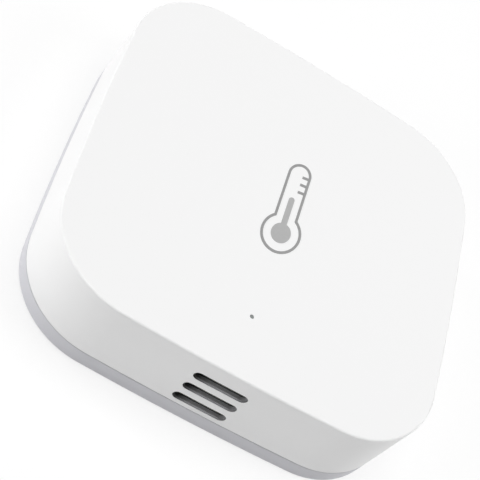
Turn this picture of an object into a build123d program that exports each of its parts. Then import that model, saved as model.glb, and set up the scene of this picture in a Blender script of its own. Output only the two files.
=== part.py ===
from build123d import *
import os
from math import atan2, degrees, sqrt

os.makedirs("parts", exist_ok=True)

# A coin-cell temperature and humidity sensor that sticks to a wall or a shelf.
# Lengths are in mm. The origin lies under its middle, on the adhesive pad's face.
# +Z runs out through the printed face and -Y towards the vent slots.
# The case is sized from the inside: the cell, its holder, the switch and a wall
# side by side make half its width, and what lies on the cell makes its height.

# Coin cell, the common 20 mm by 3.2 mm size
cell_radius = 10.0
cell_height = 3.20
cell_metal = 0.25
cap_inset = 1.40
cap_rise = 0.30
cap_skirt = 1.60
crimp_gap = 0.30
can_edge_radius = 0.20

# Case outline: a square with bulging sides and round corners
side_bulge_radius = 280.0
corner_radius = 8.0
case_wall = 1.20
top_wall = 1.20
top_edge_radius = 0.18
seam_edge_radius = 0.15

# Back cover: a grey band with a floor, and a lip that goes up inside the housing
cover_floor = 1.20
cover_band_height = 1.72
cover_edge_radius = 0.30
seam_gap = 0.04
lip_wall = 0.90
lip_clearance = 0.08
lip_button_gap = 0.15
grip_rib_width = 0.80
grip_rib_spacing_share = 0.50
grip_rib_clearance = 0.03
pry_notch_width = 6.0
pry_notch_height = 0.70
pry_notch_depth = 1.00
well_clearance = 0.45
well_ring_wall = 0.70
well_ring_height = 0.30

# Adhesive pad under the cover and foam cushion under the cell
pad_rim = 5.0
pad_proud = 0.10
pad_recess = 0.50
pad_clearance = 0.10
cushion_radius = 6.0
cushion_thickness = 0.30
cell_float = 0.05

# Circuit board, on posts under the face and hooks on the walls
board_thickness = 0.80
board_clearance = 0.30
board_over_cell = 0.40
roof_clearance = 0.13
hook_width = 2.50
hook_reach = 0.70
hook_spacing_share = 0.444
post_radius = 1.10
post_place_shares = (0.74, 0.62)

# Cell holder and its contacts
holder_clearance = 0.15
holder_wall = 1.35
holder_rise = 0.55
holder_gap_clearance = 0.60
thumb_gap_width = 7.0
thumb_gap_height = 2.0
peg_radius = 0.50
peg_clearance = 0.03
peg_stand_out = 0.30
contact_metal = 0.20
contact_clearance = 0.02
side_contact_width = 4.40
side_contact_rise = 0.40
side_contact_foot = 2.20
star_rim = 2.60
star_width = 2.40
star_toe_radius = 0.80
star_toe_inset = 1.40

# Vent slots in the front wall, lined by a grey insert, with the dust mesh behind it
slot_count = 3
slot_length = 4.94
slot_height = 1.04
slot_pitch = 1.82
slot_drop = 0.58
slot_wall = 0.35
vent_pocket_margin = 1.00
vent_pocket_roof_gap = 0.48
insert_clearance = 0.02
insert_wall = 0.10
insert_plate = 0.12
insert_recess = 0.12
mesh_thickness = 0.15
mesh_clearance = 0.10
vent_notch_clearance = 0.30

# Climate sensor on its tongue of board, inside a foam boot
tongue_width = 4.0
relief_width = 0.80
climate_chip_width = 2.50
climate_chip_height = 0.90
climate_chip_inset = 0.25
climate_port_radius = 0.50
climate_port_depth = 0.30
boot_wall = 0.74
boot_margin = 0.15

# Status light: a clear pin from the chip to a pinhole in the face
light_boot_gap = 0.08
light_hole_radius = 0.19
light_pipe_radius = 0.75
light_pipe_fit = 0.02
light_pipe_seat = 0.60
light_pipe_recess = 0.04
light_air_gap = 0.20
light_chip_length = 1.60
light_chip_width = 0.80
light_chip_height = 0.60

# Other parts on the board, placed by shares of the distance to the board's edge
radio_chip_width = 6.0
radio_chip_height = 0.85
radio_chip_shares = (-0.33, 0.15)
crystal_length = 3.20
crystal_width = 2.50
crystal_height = 0.75
crystal_shares = (-0.70, 0.27)
pressure_chip_length = 2.50
pressure_chip_width = 2.00
pressure_chip_height = 0.95
pressure_chip_shares = (0.40, -0.81)
reservoir_length = 3.20
reservoir_width = 1.60
reservoir_height = 1.60
reservoir_shares = (0.30, -0.33)
small_chip_length = 1.00
small_chip_width = 0.50
small_chip_height = 0.50
small_chip_pitch = 1.80
capacitor_row_shares = (-0.55, -0.15)
capacitor_count = 6
resistor_row_shares = (-0.55, -0.31)
resistor_count = 5
antenna_track = 0.50
antenna_copper = 0.05
antenna_margin = 2.30
antenna_start_share = 0.09
antenna_reach = 5.0
antenna_pitch = 1.10
antenna_fingers = 6

# Reset button in the rear wall and its side-push switch under the board
button_length = 6.00
button_board_gap = 0.10
button_clearance = 0.10
button_recess = 0.05
button_travel = 0.25
button_ear = 0.80
button_ear_thickness = 0.50
button_ear_gap = 0.10
switch_width = 4.50
switch_depth = 3.00
switch_height = 1.80
switch_inset = 1.80
switch_holder_gap = 0.50
switch_shell = 0.15
plunger_width = 1.60
plunger_height = 1.00
plunger_stand_out = 0.75
plunger_bury = 0.60
plunger_clearance = 0.05

# Pictogram printed on the face: a thermometer, given in its own upright frame,
# then turned and drawn out along a line that leans to the right
ink_thickness = 0.02
print_x = 0.39
print_y = -2.62
print_turn = 3.8
print_lean = 21.0
print_stretch_share = 1.33
print_line = 0.23
print_ring_radius = 1.68
print_tube_width = 1.91
print_tube_length = 5.49
print_bulb_radius = 0.88
print_column_width = 0.52
print_column_length = 3.07
print_tick_length = 0.67
print_tick_pitch = 0.71
print_tick_top = 5.42
print_tick_count = 3

# One overrun serves every cut, and one bite every joint between fused forms
overrun = 0.50
bite = 0.30

# Across the case, from the middle out
holder_inner = cell_radius + holder_clearance
holder_outer = holder_inner + holder_wall
switch_front = holder_outer + switch_holder_gap + switch_depth
wall_inside = switch_front + switch_inset
half_width = wall_inside + case_wall
board_inset = case_wall + board_clearance
board_edge = half_width - board_inset
lip_inset = case_wall + lip_clearance
tray_inset = lip_inset + lip_wall
pad_radius = half_width - pad_rim
cap_radius = cell_radius - cap_inset
crimp_radius = cap_radius + crimp_gap
peg_place = (holder_inner + holder_outer) / 2 / sqrt(2)
hook_offset = half_width * hook_spacing_share
stem_back = switch_front + plunger_stand_out
vent_pocket_half = slot_length / 2 + vent_pocket_margin
slot_wall_inside = half_width - slot_wall
mesh_front = slot_wall_inside - insert_plate
relief_depth = climate_chip_inset + climate_chip_width
boot_half = tongue_width / 2 + relief_width + boot_margin
boot_back = board_edge - relief_depth - boot_margin
light_offset = boot_back - boot_wall - light_boot_gap - light_pipe_radius

# Up through the case, from the pad's face
case_low = pad_proud
band_top = case_low + cover_band_height
housing_low = band_top + seam_gap
floor_top = case_low + cover_floor
cell_low = floor_top + cushion_thickness + cell_float
can_top = cell_low + cell_height - cap_rise
cell_top = cell_low + cell_height
holder_low = cell_low + holder_rise
board_low = cell_top + board_over_cell
board_top = board_low + board_thickness
roof_low = board_top + reservoir_height + roof_clearance
case_top = roof_low + top_wall
button_middle = board_low - switch_height / 2
button_half_height = switch_height / 2 - button_board_gap
lip_top = button_middle - button_half_height - lip_button_gap
vent_pocket_top = roof_low - vent_pocket_roof_gap
slot_middle = (housing_low + case_top) / 2 - slot_drop
light_chip_top = board_top + light_chip_height


def case_outline(inset):
    """Plan of the case, taken in by inset: four bulging sides and four corner arcs."""
    side_centre = side_bulge_radius - half_width
    reach = side_bulge_radius - corner_radius
    corner_centre = (sqrt(2 * reach**2 - side_centre**2) - side_centre) / 2
    meet = degrees(atan2(corner_centre, corner_centre + side_centre))
    side = CenterArc((0, -side_centre), side_bulge_radius - inset, 90 - meet, 2 * meet)
    corner = CenterArc(
        (corner_centre, corner_centre), corner_radius - inset, meet, 90 - 2 * meet
    )
    arcs = [arc.rotate(Axis.Z, 90 * turn) for turn in range(4) for arc in (side, corner)]
    return make_face(arcs)


def slab(face, low, high):
    """A face extruded from one height to another."""
    return Pos(0, 0, low) * extrude(face, amount=high - low, dir=(0, 0, 1))


def disc(radius, low, high, x=0, y=0):
    """An upright cylinder between two heights."""
    return slab(Pos(x, y) * Circle(radius), low, high)


def block(x_span, y_span, z_span):
    """A box between the two ends of each span."""
    low = (x_span[0], y_span[0], z_span[0])
    high = (x_span[1], y_span[1], z_span[1])
    size = [top - bottom for bottom, top in zip(low, high)]
    return Pos(*low) * Box(*size, align=Align.MIN)


def chip(place, length, width, height):
    """A part soldered to the board's upper face."""
    x, y = place
    return block(
        (x - length / 2, x + length / 2),
        (y - width / 2, y + width / 2),
        (board_top, board_top + height),
    )


def on_board(shares):
    """A place on the board from its shares of the distance to the edge."""
    return (board_edge * shares[0], board_edge * shares[1])


def upright_pill(length, height, middle, y_low, y_high):
    """A slot shape standing in the XZ plane, from one Y to another."""
    face = Plane(origin=(0, y_high, middle), x_dir=(1, 0, 0), z_dir=(0, -1, 0))
    return extrude(face * SlotOverall(length, height), amount=y_high - y_low)


def grip_ribs():
    """Small ribs on the lip that the housing is pressed over."""
    ring = slab(case_outline(case_wall + grip_rib_clearance), band_top, lip_top)
    ring -= slab(case_outline(lip_inset + bite), band_top, lip_top)
    bars = []
    for place in (-half_width * grip_rib_spacing_share, half_width * grip_rib_spacing_share):
        across = (place - grip_rib_width / 2, place + grip_rib_width / 2)
        along = (-half_width, half_width)
        bars.append(block(across, along, (band_top, lip_top)))
        bars.append(block(along, across, (band_top, lip_top)))
    return ring & (Part() + bars)


def back_cover():
    """Lower shell: the grey band, its floor, the lip and the ring round the cell."""
    cover = slab(case_outline(0), case_low, band_top)
    cover = fillet(cover.edges().group_by(Axis.Z)[0], cover_edge_radius)
    cover += slab(case_outline(lip_inset), band_top - bite, lip_top)
    cover -= slab(case_outline(tray_inset), floor_top, lip_top + overrun)
    cover += grip_ribs()
    well_radius = cell_radius + well_clearance
    well_top = floor_top + well_ring_height
    well = disc(well_radius + well_ring_wall, floor_top - bite, well_top)
    cover += well - disc(well_radius, floor_top - bite, well_top)
    cover -= disc(pad_radius + pad_clearance, case_low - overrun, case_low + pad_recess)
    notch_half = vent_pocket_half + vent_notch_clearance
    cover -= block(
        (-notch_half, notch_half),
        (-half_width, -half_width + tray_inset + overrun),
        (band_top, lip_top + overrun),
    )
    cover -= block(
        (half_width - pry_notch_depth, half_width + overrun),
        (-pry_notch_width / 2, pry_notch_width / 2),
        (band_top - pry_notch_height, band_top + overrun),
    )
    return cover


def adhesive_pad():
    """Round foam pad, sticky on both faces, in the cover's recess."""
    return disc(pad_radius, 0, case_low + pad_recess)


def cell_cushion():
    """Foam disc on the cover's floor that stops the cell from rattling."""
    return disc(cushion_radius, floor_top, floor_top + cushion_thickness)


def board_hooks():
    """Hooks on the walls: they hold the board's edge and stand on the cover's lip."""
    hooks = []
    wall_span = (wall_inside - hook_reach, wall_inside + bite)
    far_span = (-wall_span[1], -wall_span[0])
    for place in (-hook_offset, hook_offset):
        across = (place - hook_width / 2, place + hook_width / 2)
        for span in (wall_span, far_span):
            hooks.append(block(span, across, (lip_top, board_low)))
            hooks.append(block(across, span, (lip_top, board_low)))
    return hooks


def top_housing():
    """Upper shell: printed face, four walls, vent slots, pinhole and button hole."""
    shell = slab(case_outline(0), housing_low, case_top)
    shell = fillet(shell.edges().group_by(Axis.Z)[-1], top_edge_radius)
    shell = fillet(shell.edges().group_by(Axis.Z)[0], seam_edge_radius)
    shell -= slab(case_outline(case_wall), housing_low - overrun, roof_low)
    shell += board_hooks()
    x, y = on_board(post_place_shares)
    for post_x, post_y in ((x, y), (-x, y), (x, -y), (-x, -y)):
        shell += disc(post_radius, board_top, roof_low + bite, post_x, post_y)
    shell -= vent_pocket()
    for middle in slot_heights():
        shell -= upright_pill(
            slot_length, slot_height, middle, -half_width - overrun, -wall_inside
        )
    shell -= disc(light_hole_radius, roof_low, case_top + overrun, 0, -light_offset)
    shell -= disc(
        light_pipe_radius + light_pipe_fit,
        roof_low - overrun,
        roof_low + light_pipe_seat,
        0,
        -light_offset,
    )
    shell -= upright_pill(
        button_length + 2 * button_clearance,
        2 * (button_half_height + button_clearance),
        button_middle,
        wall_inside - overrun,
        half_width + overrun,
    )
    return shell


def slot_heights():
    """Middle height of each vent slot."""
    numbers = range(slot_count)
    return [slot_middle + (number - (slot_count - 1) / 2) * slot_pitch for number in numbers]


def vent_pocket():
    """Pocket inside the front wall that thins it behind the slots."""
    return block(
        (-vent_pocket_half, vent_pocket_half),
        (-slot_wall_inside, -wall_inside + overrun),
        (housing_low - overrun, vent_pocket_top),
    )


def pocket_sheet(front, thickness):
    """A sheet that fills the pocket's width and height, from its front face inwards."""
    return block(
        (mesh_clearance - vent_pocket_half, vent_pocket_half - mesh_clearance),
        (-front, thickness - front),
        (housing_low + mesh_clearance, vent_pocket_top - mesh_clearance),
    )


def vent_insert():
    """Grey moulding in the pocket, with a sleeve that lines each slot."""
    insert = pocket_sheet(slot_wall_inside, insert_plate)
    front = insert_recess - half_width
    for middle in slot_heights():
        insert += upright_pill(
            slot_length - 2 * insert_clearance,
            slot_height - 2 * insert_clearance,
            middle,
            front,
            -mesh_front,
        )
    margin = insert_clearance + insert_wall
    for middle in slot_heights():
        insert -= upright_pill(
            slot_length - 2 * margin,
            slot_height - 2 * margin,
            middle,
            front - overrun,
            overrun - mesh_front,
        )
    return insert


def vent_mesh():
    """Black dust mesh, glued to the back of the insert."""
    return pocket_sheet(mesh_front, mesh_thickness)


def sensor_boot():
    """Foam wall round the climate sensor, open to the mesh at the front."""
    outer = block(
        (-boot_half - boot_wall, boot_half + boot_wall),
        (-wall_inside + boot_margin, boot_wall - boot_back),
        (board_top, roof_low),
    )
    inner = block(
        (-boot_half, boot_half),
        (-wall_inside - overrun, -boot_back),
        (board_top - overrun, roof_low + overrun),
    )
    return outer - inner


def circuit_board():
    """Board with a relief slot each side of the sensor's tongue and two peg holes."""
    board = slab(case_outline(board_inset), board_low, board_top)
    for side in (-1, 1):
        inner = side * tongue_width / 2
        outer = side * (tongue_width / 2 + relief_width)
        board -= block(
            (min(inner, outer), max(inner, outer)),
            (-board_edge - overrun, -board_edge + relief_depth),
            (board_low - overrun, board_top + overrun),
        )
        board -= disc(
            peg_radius + peg_clearance,
            board_low - overrun,
            board_top + overrun,
            side * peg_place,
            side * peg_place,
        )
    return board


def humidity_sensor():
    """Climate sensor chip with its round port open upwards."""
    y = -board_edge + climate_chip_inset + climate_chip_width / 2
    body = chip((0, y), climate_chip_width, climate_chip_width, climate_chip_height)
    top = board_top + climate_chip_height
    return body - disc(climate_port_radius, top - climate_port_depth, top + overrun, 0, y)


def light_pipe():
    """Clear pin: a wide foot over the status light and a thin tip in the pinhole."""
    shoulder = roof_low + light_pipe_seat
    foot = disc(light_pipe_radius, light_chip_top + light_air_gap, shoulder, 0, -light_offset)
    tip_radius = light_hole_radius - light_pipe_fit
    return foot + disc(tip_radius, shoulder, case_top - light_pipe_recess, 0, -light_offset)


def chip_row(shares, count):
    """A row of like small chips on the board."""
    x, y = on_board(shares)
    places = [(x + number * small_chip_pitch, y) for number in range(count)]
    chips = [
        chip(place, small_chip_width, small_chip_length, small_chip_height) for place in places
    ]
    return Compound(children=chips)


def antenna_trace():
    """Copper meander at the board's edge, fed at its lower end."""
    copper = (board_top, board_top + antenna_copper)
    right = board_edge - antenna_margin
    left = right - antenna_reach
    trace = Part()
    for finger in range(antenna_fingers):
        y = board_edge * antenna_start_share + finger * antenna_pitch
        trace += block((left, right), (y, y + antenna_track), copper)
        if finger < antenna_fingers - 1:
            link_left = right - antenna_track if finger % 2 == 0 else left
            link = (y, y + antenna_pitch + antenna_track)
            trace += block((link_left, link_left + antenna_track), link, copper)
    return trace


def cell_holder():
    """Ring under the board that the cell is pushed up into, pegged through the board."""
    ring = disc(holder_outer, holder_low, board_low) - disc(holder_inner, holder_low, board_low)
    gap_half = side_contact_width / 2 + holder_gap_clearance
    ring -= block(
        (-holder_outer - overrun, -holder_inner + overrun),
        (-gap_half, gap_half),
        (holder_low - overrun, board_low + overrun),
    )
    ring -= block(
        (holder_inner - overrun, holder_outer + overrun),
        (-thumb_gap_width / 2, thumb_gap_width / 2),
        (holder_low - overrun, holder_low + thumb_gap_height),
    )
    for side in (-1, 1):
        place = side * peg_place
        ring += disc(peg_radius, board_low - bite, board_top + peg_stand_out, place, place)
    return ring


def positive_contact():
    """Stamped strip that presses on the side of the cell's can."""
    face = -cell_radius - contact_clearance
    width = (-side_contact_width / 2, side_contact_width / 2)
    strip_low = holder_low + side_contact_rise
    strip = block((face - contact_metal, face), width, (strip_low, board_low))
    foot = block((face - side_contact_foot, face), width, (board_low - contact_metal, board_low))
    return strip + foot


def negative_contact():
    """Stamped four-armed spring with a toe at each tip that meets the cell's cap."""
    star_half = cap_radius - star_rim
    arm = (-star_half, star_half)
    width = (-star_width / 2, star_width / 2)
    plate = (board_low - contact_metal, board_low)
    star = block(arm, width, plate) + block(width, arm, plate)
    toe = star_half - star_toe_inset
    for x, y in ((toe, 0), (-toe, 0), (0, toe), (0, -toe)):
        star += disc(star_toe_radius, cell_top + contact_clearance, board_low - contact_metal, x, y)
    return star


def turned(points):
    """A ring or cup turned from its half section, given as radius and height."""
    section = make_face(Polyline(*[(radius, 0, height) for radius, height in points], close=True))
    return revolve(section, Axis.Z)


def cell_can():
    """Steel cup of the cell, the plus pole, crimped over at its rim."""
    inner = cell_radius - cell_metal
    can = turned(
        [
            (0, cell_low),
            (cell_radius, cell_low),
            (cell_radius, can_top),
            (crimp_radius, can_top),
            (crimp_radius, can_top - cell_metal),
            (inner, can_top - cell_metal),
            (inner, cell_low + cell_metal),
            (0, cell_low + cell_metal),
        ]
    )
    return fillet(can.edges().group_by(Axis.Z)[0], can_edge_radius)


def cell_cap():
    """Steel lid of the cell, the minus pole."""
    inner = cap_radius - cell_metal
    return turned(
        [
            (0, cell_top),
            (cap_radius, cell_top),
            (cap_radius, cell_top - cap_skirt),
            (inner, cell_top - cap_skirt),
            (inner, cell_top - cell_metal),
            (0, cell_top - cell_metal),
        ]
    )


def cell_gasket():
    """Nylon ring that seals the cap in the can."""
    outer = cell_radius - cell_metal
    floor = cell_low + cell_metal
    return turned(
        [
            (cap_radius, floor),
            (outer, floor),
            (outer, can_top - cell_metal),
            (crimp_radius, can_top - cell_metal),
            (crimp_radius, can_top),
            (cap_radius, can_top),
        ]
    )


def cell_electrodes():
    """Lithium disc, separator and pellet, as the one stack that fills the cell."""
    return disc(cap_radius - cell_metal, cell_low + cell_metal, cell_top - cell_metal)


def switch_body():
    """Moulded base of the side-push switch, hollow where the plunger slides."""
    body = block(
        (-switch_width / 2, switch_width / 2),
        (switch_front - switch_depth, switch_front),
        (board_low - switch_height, board_low),
    )
    bore_half = plunger_width / 2 + plunger_clearance
    bore_rise = plunger_height / 2 + plunger_clearance
    depth = plunger_bury + button_travel + plunger_clearance
    return body - block(
        (-bore_half, bore_half),
        (switch_front - depth, switch_front + overrun),
        (button_middle - bore_rise, button_middle + bore_rise),
    )


def switch_frame():
    """Sheet-steel cover folded round the switch and soldered to the board."""
    outer_half = switch_width / 2 + switch_shell
    low = board_low - switch_height
    length = (switch_front - switch_depth, switch_front)
    frame = block((-outer_half, outer_half), length, (low - switch_shell, board_low))
    inner = (-switch_width / 2, switch_width / 2)
    return frame - block(inner, length, (low, board_low))


def switch_plunger():
    """Plunger of the switch, pushed by the button's stem."""
    return block(
        (-plunger_width / 2, plunger_width / 2),
        (switch_front - plunger_bury, stem_back),
        (button_middle - plunger_height / 2, button_middle + plunger_height / 2),
    )


def reset_button():
    """Button cap in the rear wall, with two ears behind the wall and a stem."""
    ear_front = wall_inside - button_ear_gap
    ear_back = ear_front - button_ear_thickness
    cap_front = half_width - button_recess
    cap = upright_pill(
        button_length, 2 * button_half_height, button_middle, ear_back, cap_front
    )
    ear_tip = button_length / 2 + button_ear
    height = (button_middle - button_half_height, button_middle + button_half_height)
    cap += block((-ear_tip, ear_tip), (ear_back, ear_front), height)
    stem = block(
        (-plunger_width / 2, plunger_width / 2),
        (stem_back, ear_back + bite),
        (button_middle - plunger_height / 2, button_middle + plunger_height / 2),
    )
    return cap + stem


def printed(sketch):
    """Ink on the face: turned and stretched in its plane, then given its thickness."""
    sketch = sketch.rotate(Axis.Z, print_turn + print_lean)
    sketch = scale(sketch, by=(1, print_stretch_share, 1))
    sketch = Pos(print_x, print_y) * sketch.rotate(Axis.Z, -print_lean)
    return slab(sketch, case_top, case_top + ink_thickness)


def thermometer(width_in, ring_radius):
    """Bulb and tube of the thermometer as one face, drawn in by width_in."""
    tube_half = print_tube_width / 2 - width_in
    tube = Pos(0, print_tube_length / 2) * Rectangle(2 * tube_half, print_tube_length)
    return tube + Circle(ring_radius - width_in) + Pos(0, print_tube_length) * Circle(tube_half)


def pictogram_outline():
    """Printed outline of the thermometer with its scale marks."""
    sketch = thermometer(-print_line / 2, print_ring_radius)
    sketch -= thermometer(print_line / 2, print_ring_radius)
    for number in range(print_tick_count):
        right = print_tube_width / 2
        middle = (right - print_tick_length / 2, print_tick_top - number * print_tick_pitch)
        sketch += Pos(*middle) * Rectangle(print_tick_length, print_line)
    return printed(sketch)


def pictogram_column():
    """Printed bulb and column inside the outline."""
    half = print_column_width / 2
    column = Pos(0, print_column_length / 2) * Rectangle(2 * half, print_column_length)
    column += Pos(0, print_column_length) * Circle(half)
    return printed(column + Circle(print_bulb_radius))


pieces = {
    "back_cover": back_cover(),
    "adhesive_pad": adhesive_pad(),
    "cell_cushion": cell_cushion(),
    "top_housing": top_housing(),
    "pictogram_outline": pictogram_outline(),
    "pictogram_column": pictogram_column(),
    "light_pipe": light_pipe(),
    "vent_insert": vent_insert(),
    "vent_mesh": vent_mesh(),
    "sensor_boot": sensor_boot(),
    "circuit_board": circuit_board(),
    "humidity_sensor": humidity_sensor(),
    "pressure_sensor": chip(
        on_board(pressure_chip_shares),
        pressure_chip_length,
        pressure_chip_width,
        pressure_chip_height,
    ),
    "radio_chip": chip(
        on_board(radio_chip_shares), radio_chip_width, radio_chip_width, radio_chip_height
    ),
    "clock_crystal": chip(
        on_board(crystal_shares), crystal_length, crystal_width, crystal_height
    ),
    "reservoir_capacitor": chip(
        on_board(reservoir_shares), reservoir_length, reservoir_width, reservoir_height
    ),
    "status_light": chip(
        (0, -light_offset), light_chip_length, light_chip_width, light_chip_height
    ),
    "chip_capacitors": chip_row(capacitor_row_shares, capacitor_count),
    "chip_resistors": chip_row(resistor_row_shares, resistor_count),
    "antenna_trace": antenna_trace(),
    "cell_holder": cell_holder(),
    "positive_contact": positive_contact(),
    "negative_contact": negative_contact(),
    "switch_body": switch_body(),
    "switch_frame": switch_frame(),
    "switch_plunger": switch_plunger(),
    "reset_button": reset_button(),
    "cell_can": cell_can(),
    "cell_cap": cell_cap(),
    "cell_gasket": cell_gasket(),
    "cell_electrodes": cell_electrodes(),
}

for node, shape in pieces.items():
    export_step(shape, f"parts/{node}.step")
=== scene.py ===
from math import tau

import bmesh
import bpy
from mathutils import Matrix, Vector, noise


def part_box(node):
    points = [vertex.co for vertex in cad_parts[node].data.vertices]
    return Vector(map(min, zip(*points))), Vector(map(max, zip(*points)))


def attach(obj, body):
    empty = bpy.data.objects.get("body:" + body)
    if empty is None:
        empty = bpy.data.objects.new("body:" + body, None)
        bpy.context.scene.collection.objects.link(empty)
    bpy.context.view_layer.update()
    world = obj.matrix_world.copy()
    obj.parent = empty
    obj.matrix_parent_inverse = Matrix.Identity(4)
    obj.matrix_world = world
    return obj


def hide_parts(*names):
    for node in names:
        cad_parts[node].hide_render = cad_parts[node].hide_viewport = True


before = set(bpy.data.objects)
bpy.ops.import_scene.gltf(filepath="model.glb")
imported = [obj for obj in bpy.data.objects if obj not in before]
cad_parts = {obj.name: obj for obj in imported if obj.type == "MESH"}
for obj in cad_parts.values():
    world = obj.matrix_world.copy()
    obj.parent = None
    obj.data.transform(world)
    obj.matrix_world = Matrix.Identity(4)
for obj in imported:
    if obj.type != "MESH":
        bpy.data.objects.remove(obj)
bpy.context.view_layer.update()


# Back cover
# The grey shell that stays on the wall and shows as the band under the seam.
# ABS, coloured through and injection-moulded, with a satin spark-eroded skin that
# scatters light, and a painted highlight, a paler colour, along its edges.
MM = 0.001


def linear(colour):
    """An sRGB hex colour as the linear one that a socket takes."""
    parts = [int(colour[at : at + 2], 16) / 255 for at in (1, 3, 5)]
    lit = [c / 12.92 if c <= 0.04045 else ((c + 0.055) / 1.055) ** 2.4 for c in parts]
    return (*lit, 1.0)


def add_node(tree, kind, settings=None, links=None):
    """Adds a node: settings fill its properties or sockets, links feed its sockets."""
    made = tree.nodes.new(kind)
    for name, value in (settings or {}).items():
        if isinstance(name, str) and hasattr(made, name):
            setattr(made, name, value)
        else:
            made.inputs[name].default_value = value
    for name, source in (links or {}).items():
        tree.links.new(source, made.inputs[name])
    return made


def start_material(name, **values):
    """A new material with the shader's own numbers set, and its tree and shader."""
    material = bpy.data.materials.new(name)
    material.use_nodes = True
    shader = material.node_tree.nodes["Principled BSDF"]
    for socket, value in values.items():
        shader.inputs[socket.replace("_", " ")].default_value = value
    return material, material.node_tree, shader


def dress(material, *nodes):
    """Gives CAD nodes a material."""
    for node in nodes:
        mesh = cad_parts[node].data
        mesh.materials.clear()
        mesh.materials.append(material)


def moulded(name, colour, edge_highlight, roughness, grain, depth, edge):
    """Plastic moulded against a spark-eroded tool, with a painted highlight, a paler
    colour, along its edges. Grain, depth and edge are in mm.
    """
    material, tree, shader = start_material(name, IOR=1.53)
    place = add_node(tree, "ShaderNodeTexCoord").outputs["Object"]
    rounded = add_node(tree, "ShaderNodeBevel", {"samples": 6, "Radius": edge * MM})
    flat = add_node(tree, "ShaderNodeNewGeometry").outputs["Normal"]
    turn = add_node(
        tree,
        "ShaderNodeVectorMath",
        {"operation": "DOT_PRODUCT"},
        {0: rounded.outputs[0], 1: flat},
    )
    # Painted highlight: the colour turns paler where the rounded edge turns the surface.
    highlight_starts, highlight_full = 0.995, 0.85  # cosines of how far the edge turns the surface
    highlight_share = add_node(
        tree,
        "ShaderNodeMapRange",
        {"From Min": highlight_starts, "From Max": highlight_full},
        {"Value": turn.outputs["Value"]},
    )
    tone = add_node(
        tree,
        "ShaderNodeMix",
        {"data_type": "RGBA", 6: linear(colour), 7: linear(edge_highlight)},
        {0: highlight_share.outputs[0]},
    )
    tree.links.new(tone.outputs[2], shader.inputs["Base Color"])
    flow_mark, wander = 6 * MM, 0.04
    flow = add_node(tree, "ShaderNodeTexNoise", {"Scale": 1 / flow_mark}, {"Vector": place})
    sheen = add_node(
        tree,
        "ShaderNodeMapRange",
        {"To Min": roughness - wander, "To Max": roughness + wander},
        {"Value": flow.outputs[0]},
    )
    tree.links.new(sheen.outputs[0], shader.inputs["Roughness"])
    skin = add_node(
        tree,
        "ShaderNodeTexNoise",
        {"Scale": 1 / (grain * MM), "Detail": 2.0},
        {"Vector": place},
    )
    bump = add_node(
        tree,
        "ShaderNodeBump",
        {"Distance": depth * MM},
        {"Height": skin.outputs[0], "Normal": rounded.outputs[0]},
    )
    tree.links.new(bump.outputs[0], shader.inputs["Normal"])
    return material


# The tool's real grain is about 0.03 mm. It is drawn at 0.16 mm, so that it shows.
# The second colour is a painted highlight along the edges.
grey_abs = moulded("satin_grey_abs", "#CFCFD4", "#DADADE", 0.42, 0.16, 0.004, 0.06)
dress(grey_abs, "back_cover")


# Rim bead
# A low bead along the cover's rim, moulded with it. It reaches up behind the housing's
# rounded foot, so that no light falls into the seam, and stops at the pry notch.
def new_piece(name, form, material, body):
    """Makes a shaped bmesh a piece of the object that rides on a body."""
    bmesh.ops.recalc_face_normals(form, faces=form.faces)
    mesh = bpy.data.meshes.new(name)
    form.to_mesh(mesh)
    form.free()
    mesh.materials.append(material)
    piece = bpy.data.objects.new(name, mesh)
    bpy.context.scene.collection.objects.link(piece)
    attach(piece, body)
    return piece


def widened(form, loop, grow, level):
    """Extrudes a loop of edges, scales the new loop by grow and puts it at a level."""
    made = bmesh.ops.extrude_edge_only(form, edges=loop)["geom"]
    fresh = {part for part in made if isinstance(part, bmesh.types.BMVert)}
    for vert in fresh:
        vert.co.xy *= grow
        vert.co.z = level
    edges = [part for part in made if isinstance(part, bmesh.types.BMEdge)]
    return [edge for edge in edges if fresh.issuperset(edge.verts)]


seam_gap = 0.04 * MM
rim_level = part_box("top_housing")[0].z - seam_gap
cover_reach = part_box("back_cover")[1].x
plain_level = 1.0 * MM
notch_half, notch_from = 3.1 * MM, 16.0 * MM
# How far in from the skin and how far up each corner of the bead's section is, in mm.
bead_section = (
    (0.008, 0.0),
    (0.008, 0.118),
    (0.03, 0.084),
    (0.06, 0.050),
    (0.10, 0.038),
    (0.50, 0.036),
    (0.50, 0.0),
)
bead = bmesh.new()
bead.from_mesh(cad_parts["back_cover"].data)
bmesh.ops.remove_doubles(bead, verts=bead.verts, dist=0.001 * MM)
bmesh.ops.bisect_plane(
    bead,
    geom=bead.verts[:] + bead.edges[:] + bead.faces[:],
    plane_co=(0, 0, plain_level),
    plane_no=(0, 0, 1),
    clear_inner=True,
    clear_outer=True,
)
inset, rise = bead_section[0]
for vert in bead.verts:
    vert.co.xy *= 1 - inset * MM / cover_reach
    vert.co.z = rim_level
first = loop = bead.edges[:]
for (before, _), (inset, rise) in zip(bead_section, bead_section[1:]):
    grow = (cover_reach - inset * MM) / (cover_reach - before * MM)
    loop = widened(bead, loop, grow, rim_level + rise * MM)
bmesh.ops.bridge_loops(bead, edges=first + loop)
for notch_side in (-notch_half, notch_half):
    near = [face for face in bead.faces if face.calc_center_median().x > 0]
    edges = {edge for face in near for edge in face.edges}
    verts = {vert for face in near for vert in face.verts}
    bmesh.ops.bisect_plane(
        bead,
        geom=near + list(edges) + list(verts),
        plane_co=(0, notch_side, 0),
        plane_no=(0, 1, 0),
    )
at_notch = []
for face in bead.faces:
    middle = face.calc_center_median()
    if middle.x > notch_from and abs(middle.y) < notch_half:
        at_notch.append(face)
bmesh.ops.delete(bead, geom=at_notch, context="FACES")
bmesh.ops.holes_fill(bead, edges=bead.edges)
new_piece("rim_bead", bead, grey_abs, "base")
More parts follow.
